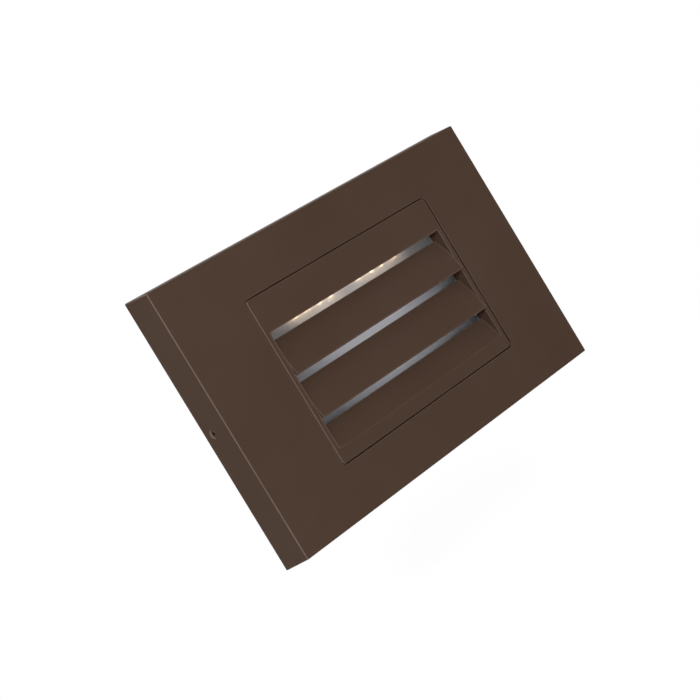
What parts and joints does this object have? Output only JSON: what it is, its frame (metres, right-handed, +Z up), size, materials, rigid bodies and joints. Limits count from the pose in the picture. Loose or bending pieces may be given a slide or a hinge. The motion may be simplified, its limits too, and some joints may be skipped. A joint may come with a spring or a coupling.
{
  "type": "step light",
  "caption": "Rectangular surface-mounted step light with a leaning-sided bronze cover, a louvred insert over a glass lens, and a back plate carrying LEDs, driver and terminals.",
  "frame": {"origin": "middle of the wall gasket's rear face, on the wall behind the centre of the light", "axes": "+X to the viewer's right along the long side, +Z up, and +Y into the wall, so the louvres face -Y"},
  "size_m": [0.254, 0.029, 0.1778],
  "materials": {
    "bronze_powder_coat": "matt bronze powder coat over die-cast aluminium",
    "prismatic_glass": "lightly frosted, with upright prismatic ribs on its back",
    "silicone": "matt translucent grey silicone",
    "foam": "closed-cell black foam",
    "black_rubber": "matt black",
    "stainless_steel": "plain stainless steel",
    "black_oxide_steel": "black oxide on alloy steel",
    "zinc_plated_steel": "bright zinc plate",
    "galvanised_sheet": "galvanised sheet steel",
    "aluminium_extrusion": "mill finish",
    "gap_pad": "soft grey thermal pad",
    "white_solder_mask": "aluminium-core board with white solder mask",
    "led_phosphor": "white body with a yellow phosphor well",
    "white_nylon": "natural white nylon",
    "white_reflector_paint": "white reflector paint on aluminium sheet",
    "black_plastic": "black flame-retardant plastic",
    "circuit_board": "green circuit board with its components",
    "ivory_plastic": "ivory thermoset",
    "nickel_plated_brass": "nickel-plated brass",
    "green_steel": "green dyed zinc plate",
    "tinned_copper": "tinned copper",
    "black_pvc": "black insulation",
    "white_pvc": "white insulation",
    "red_pvc": "red insulation",
    "green_pvc": "green insulation"
  },
  "bodies": {
    "wall_plate": {"back_plate": "galvanised_sheet", "wall_gasket": "foam", "wire_grommet": "black_rubber", "led_bracket": "aluminium_extrusion", "thermal_pad": "gap_pad", "led_board": "white_solder_mask", "led_packages": "led_phosphor", "led_board_connector": "white_nylon", "led_board_screws": "stainless_steel", "reflector": "white_reflector_paint", "reflector_screws": "zinc_plated_steel", "driver_case": "black_plastic", "driver_lid": "black_plastic", "driver_circuit_board": "circuit_board", "driver_screws": "zinc_plated_steel", "terminal_block": "ivory_plastic", "terminal_screws": "nickel_plated_brass", "terminal_block_screws": "zinc_plated_steel", "ground_screw": "green_steel", "ground_ring_terminal": "tinned_copper", "driver_input_lead_line": "black_pvc", "driver_input_lead_neutral": "white_pvc", "driver_output_lead_positive": "red_pvc", "driver_output_lead_negative": "black_pvc", "ground_lead": "green_pvc", "lead_clips": "white_nylon"},
    "cover": {"face_cover": "bronze_powder_coat", "louvre_insert": "bronze_powder_coat", "insert_gasket": "silicone", "insert_nuts": "zinc_plated_steel", "lens_gasket": "silicone", "lens": "prismatic_glass", "lens_frame": "galvanised_sheet", "lens_frame_screws": "stainless_steel"},
    "side_screw_left": {"side_screw_left": "black_oxide_steel"},
    "side_screw_right": {"side_screw_right": "black_oxide_steel"}
  },
  "joints": [
    {"name": "cover_slide", "type": "slide", "parent": "wall_plate", "child": "cover", "axis": [0, -1, 0], "range_m": [0, 0.035]},
    {"name": "side_screw_left_slide", "type": "slide", "parent": "cover", "child": "side_screw_left", "axis": [-1, 0, 0], "range_m": [0, 0.004]},
    {"name": "side_screw_right_slide", "type": "slide", "parent": "cover", "child": "side_screw_right", "axis": [1, 0, 0], "range_m": [0, 0.004]}
  ]
}
